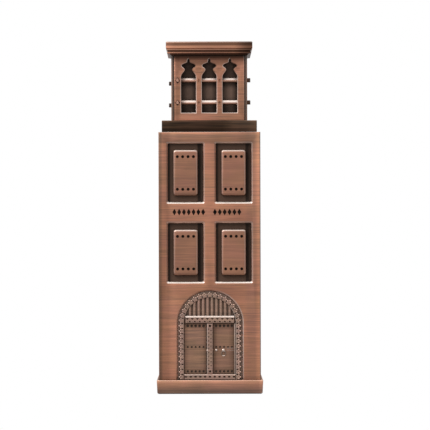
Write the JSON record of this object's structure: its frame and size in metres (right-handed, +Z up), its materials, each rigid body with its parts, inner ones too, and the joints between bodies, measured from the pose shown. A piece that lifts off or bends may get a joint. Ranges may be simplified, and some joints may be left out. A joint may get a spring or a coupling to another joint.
{
  "type": "bottle opener",
  "caption": "Bottle opener shaped as a square wind-tower house, with the crown-cap mouth under its plinth and an antique copper finish.",
  "frame": {"origin": "middle of the plinth's foot, on the surface it stands on", "axes": "+Z up the tower, -Y out of the face with the door, +X to the right seen from the front"},
  "size_m": [0.04, 0.04, 0.1326],
  "materials": {
    "brushed_copper": "antique copper plating, brushed level and lacquered",
    "dark_copper": "dark patina left unbrushed",
    "relief_copper": "antique copper relief, dark in its hollows",
    "opener_steel": "bright zinc-plated steel"
  },
  "bodies": {
    "root": {"arch_band": "relief_copper", "body_deck": "dark_copper", "collar": "dark_copper", "corner_block_1": "dark_copper", "corner_block_2": "dark_copper", "corner_block_3": "dark_copper", "corner_block_4": "dark_copper", "door_leaf_left": "relief_copper", "door_leaf_right": "relief_copper", "door_post": "relief_copper", "door_pull_ring": "relief_copper", "door_sill": "relief_copper", "door_transom": "relief_copper", "fanlight": "relief_copper", "latch_stud": "relief_copper", "lattice_back": "brushed_copper", "lattice_front": "brushed_copper", "lattice_left": "brushed_copper", "lattice_right": "brushed_copper", "opener_plate": "opener_steel", "plate_screw_1": "opener_steel", "plate_screw_2": "opener_steel", "plate_screw_3": "opener_steel", "plate_screw_4": "opener_steel", "plinth": "brushed_copper", "pole_back_lower": "brushed_copper", "pole_back_upper": "brushed_copper", "pole_front_lower": "brushed_copper", "pole_front_upper": "brushed_copper", "pole_left_lower": "brushed_copper", "pole_left_upper": "brushed_copper", "pole_right_lower": "brushed_copper", "pole_right_upper": "brushed_copper", "roof_cornice": "brushed_copper", "shutter_back_lower_left": "brushed_copper", "shutter_back_lower_right": "brushed_copper", "shutter_back_upper_left": "brushed_copper", "shutter_back_upper_right": "brushed_copper", "shutter_front_lower_left": "brushed_copper", "shutter_front_lower_right": "brushed_copper", "shutter_front_upper_left": "brushed_copper", "shutter_front_upper_right": "brushed_copper", "shutter_left_lower_left": "brushed_copper", "shutter_left_lower_right": "brushed_copper", "shutter_left_upper_left": "brushed_copper", "shutter_left_upper_right": "brushed_copper", "shutter_right_lower_left": "brushed_copper", "shutter_right_lower_right": "brushed_copper", "shutter_right_upper_left": "brushed_copper", "shutter_right_upper_right": "brushed_copper", "stack_screw": "opener_steel", "stack_washer": "opener_steel", "tower_core": "dark_copper", "wall_back": "brushed_copper", "wall_front": "brushed_copper", "wall_left": "brushed_copper", "wall_right": "brushed_copper"}
  },
  "joints": []
}
